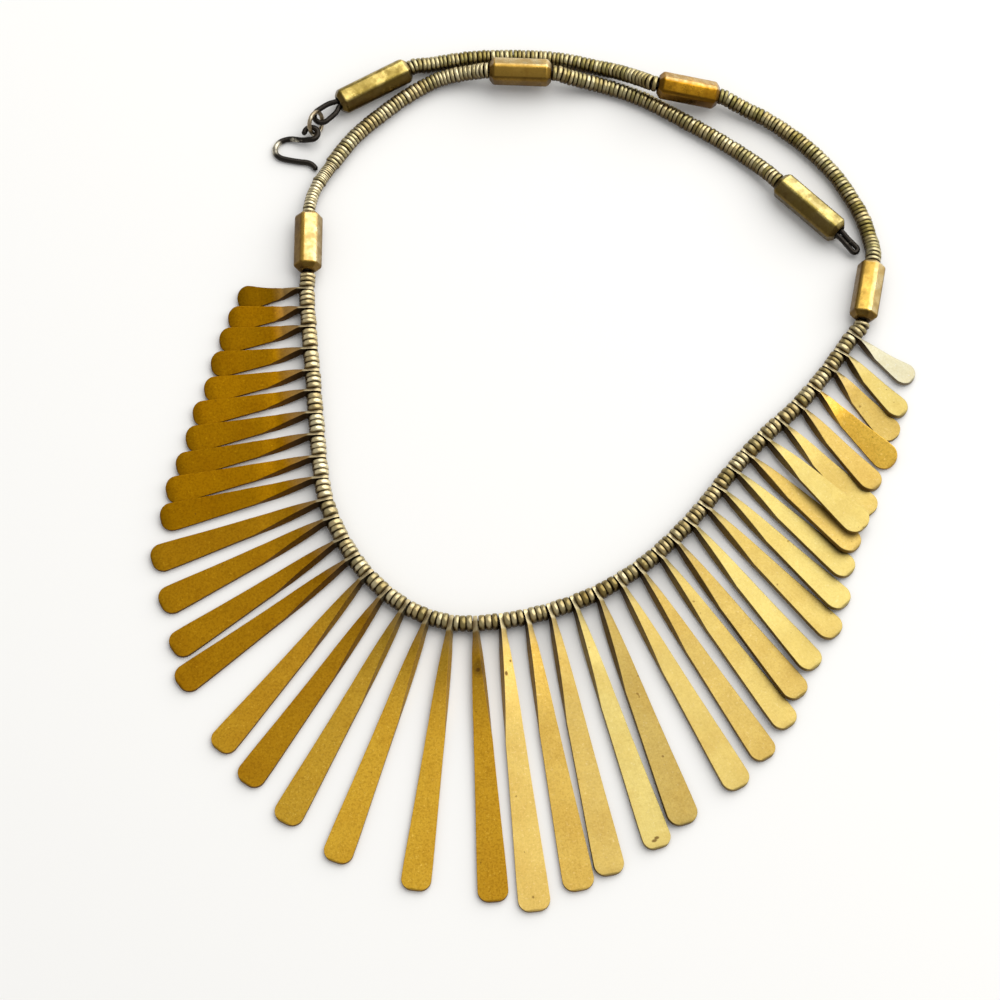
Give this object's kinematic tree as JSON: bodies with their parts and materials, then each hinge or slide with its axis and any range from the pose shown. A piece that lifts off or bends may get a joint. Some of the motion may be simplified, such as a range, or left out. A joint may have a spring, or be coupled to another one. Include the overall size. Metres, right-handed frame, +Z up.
{
  "type": "bib necklace",
  "caption": "Fringe bib necklace of forged metal paddles strung between small discs, with hexagonal tube beads on the neck strings and a hook and loop fastening.",
  "frame": {"origin": "middle of the whole necklace's box, on the surface it lies on", "axes": "+Z up from the surface, +Y towards the back of the neck, -Y towards the tips of the fringe"},
  "size_m": [0.146, 0.177, 0.008],
  "materials": {
    "paddles": "forged and brushed, lightly tarnished",
    "tube_beads": "polished facets with worn edges",
    "discs": "pale and polished at the rims, dark in the grooves",
    "dark_wire": "blackened",
    "pale_wire": "worn plating"
  },
  "bodies": {
    "root": {"paddle_01": "paddles", "paddle_02": "paddles", "paddle_03": "paddles", "paddle_04": "paddles", "paddle_05": "paddles", "paddle_06": "paddles", "paddle_07": "paddles", "paddle_08": "paddles", "paddle_09": "paddles", "paddle_10": "paddles", "paddle_11": "paddles", "paddle_12": "paddles", "paddle_13": "paddles", "paddle_14": "paddles", "paddle_15": "paddles", "paddle_16": "paddles", "paddle_17": "paddles", "paddle_18": "paddles", "paddle_19": "paddles", "paddle_20": "paddles", "paddle_21": "paddles", "paddle_22": "paddles", "paddle_23": "paddles", "paddle_24": "paddles", "paddle_25": "paddles", "paddle_26": "paddles", "paddle_27": "paddles", "paddle_28": "paddles", "paddle_29": "paddles", "paddle_30": "paddles", "paddle_31": "paddles", "paddle_32": "paddles", "paddle_33": "paddles", "paddle_34": "paddles", "paddle_35": "paddles", "paddle_36": "paddles", "paddle_37": "paddles", "paddle_38": "paddles", "paddle_39": "paddles", "paddle_40": "paddles", "paddle_41": "paddles", "tube_left": "tube_beads", "tube_back": "tube_beads", "tube_left_end": "tube_beads", "tube_right": "tube_beads", "tube_right_back": "tube_beads", "tube_right_end": "tube_beads", "bib_string": "discs", "neck_string_left": "discs", "neck_string_right": "discs", "catch_loop": "dark_wire", "ring_loop": "dark_wire", "hook": "dark_wire", "jump_ring": "pale_wire"}
  },
  "joints": []
}
